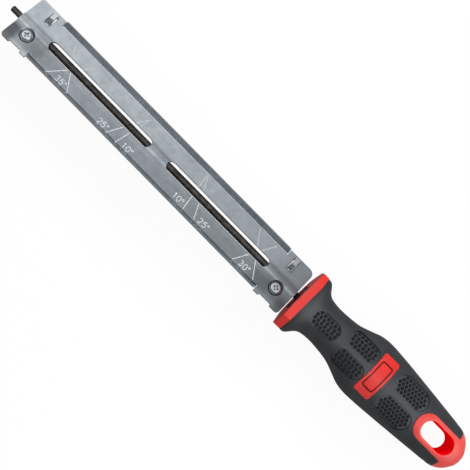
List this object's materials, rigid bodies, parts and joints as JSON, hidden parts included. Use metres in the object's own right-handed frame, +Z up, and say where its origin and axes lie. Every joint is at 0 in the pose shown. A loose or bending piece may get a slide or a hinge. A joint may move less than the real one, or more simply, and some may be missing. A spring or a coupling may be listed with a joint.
{
  "type": "chainsaw file guide",
  "caption": "Round file clamped under a pressed steel guide plate with angle lines, on a two-colour handle with a hanging hole.",
  "frame": {"origin": "on the file's axis, where the cylinder of its nose begins", "axes": "+X along the file towards the handle, +Z up out of the handle's badge"},
  "size_m": [0.334, 0.037, 0.0264],
  "materials": {
    "galvanised_steel": "rolled, satin",
    "file_steel": "cut teeth, dark",
    "zinc_steel": "zinc plated",
    "red_plastic": "moulded, semi-gloss",
    "black_soft_plastic": "fine matt texture",
    "dark_plastic": "moulded, matt"
  },
  "bodies": {
    "handle": {"handle_core": "red_plastic", "handle_grip": "black_soft_plastic", "tang_socket": "dark_plastic"},
    "file": {"round_file": "file_steel"},
    "guide": {"guide_plate": "galvanised_steel"},
    "front_strap": {"front_clamp_strap": "galvanised_steel"},
    "front_screw": {"front_clamp_screw": "zinc_steel"},
    "front_nut": {"front_clamp_nut": "zinc_steel"},
    "rear_strap": {"rear_clamp_strap": "galvanised_steel"},
    "rear_screw": {"rear_clamp_screw": "zinc_steel"},
    "rear_nut": {"rear_clamp_nut": "zinc_steel"}
  },
  "joints": [
    {"name": "handle_pull", "type": "slide", "parent": "handle", "child": "file", "axis": [-1, 0, 0], "range_m": [0, 0.05]},
    {"name": "guide_turn", "type": "hinge", "parent": "file", "child": "guide", "pos_m": [0.1, 0, 0], "axis": [1, 0, 0], "continuous": true},
    {"name": "front_screw_turn", "type": "hinge", "parent": "guide", "child": "front_screw", "pos_m": [0.0165, -0.00501, 0.00393], "axis": [0, 0.2756, 0.9613], "range_deg": [0, 1080]},
    {"name": "front_nut_travel", "type": "slide", "parent": "guide", "child": "front_nut", "axis": [0, -0.2756, -0.9613], "range_m": [0, 0.0015]},
    {"name": "front_strap_swing", "type": "hinge", "parent": "guide", "child": "front_strap", "pos_m": [0.0182, 0.01277, -0.00117], "axis": [1, 0, 0], "range_deg": [0, 3.98]},
    {"name": "rear_screw_turn", "type": "hinge", "parent": "guide", "child": "rear_screw", "pos_m": [0.2014, -0.00501, 0.00393], "axis": [0, 0.2756, 0.9613], "range_deg": [0, 1080]},
    {"name": "rear_nut_travel", "type": "slide", "parent": "guide", "child": "rear_nut", "axis": [0, -0.2756, -0.9613], "range_m": [0, 0.0015]},
    {"name": "rear_strap_swing", "type": "hinge", "parent": "guide", "child": "rear_strap", "pos_m": [0.1997, 0.01277, -0.00117], "axis": [1, 0, 0], "range_deg": [0, 3.98]}
  ],
  "couplings": [
    {"joint": "front_screw_turn", "follows": "front_nut_travel", "rad_per_m": 12566},
    {"joint": "front_strap_swing", "follows": "front_nut_travel", "rad_per_m": 46.189},
    {"joint": "rear_screw_turn", "follows": "rear_nut_travel", "rad_per_m": 12566},
    {"joint": "rear_strap_swing", "follows": "rear_nut_travel", "rad_per_m": 46.189}
  ]
}
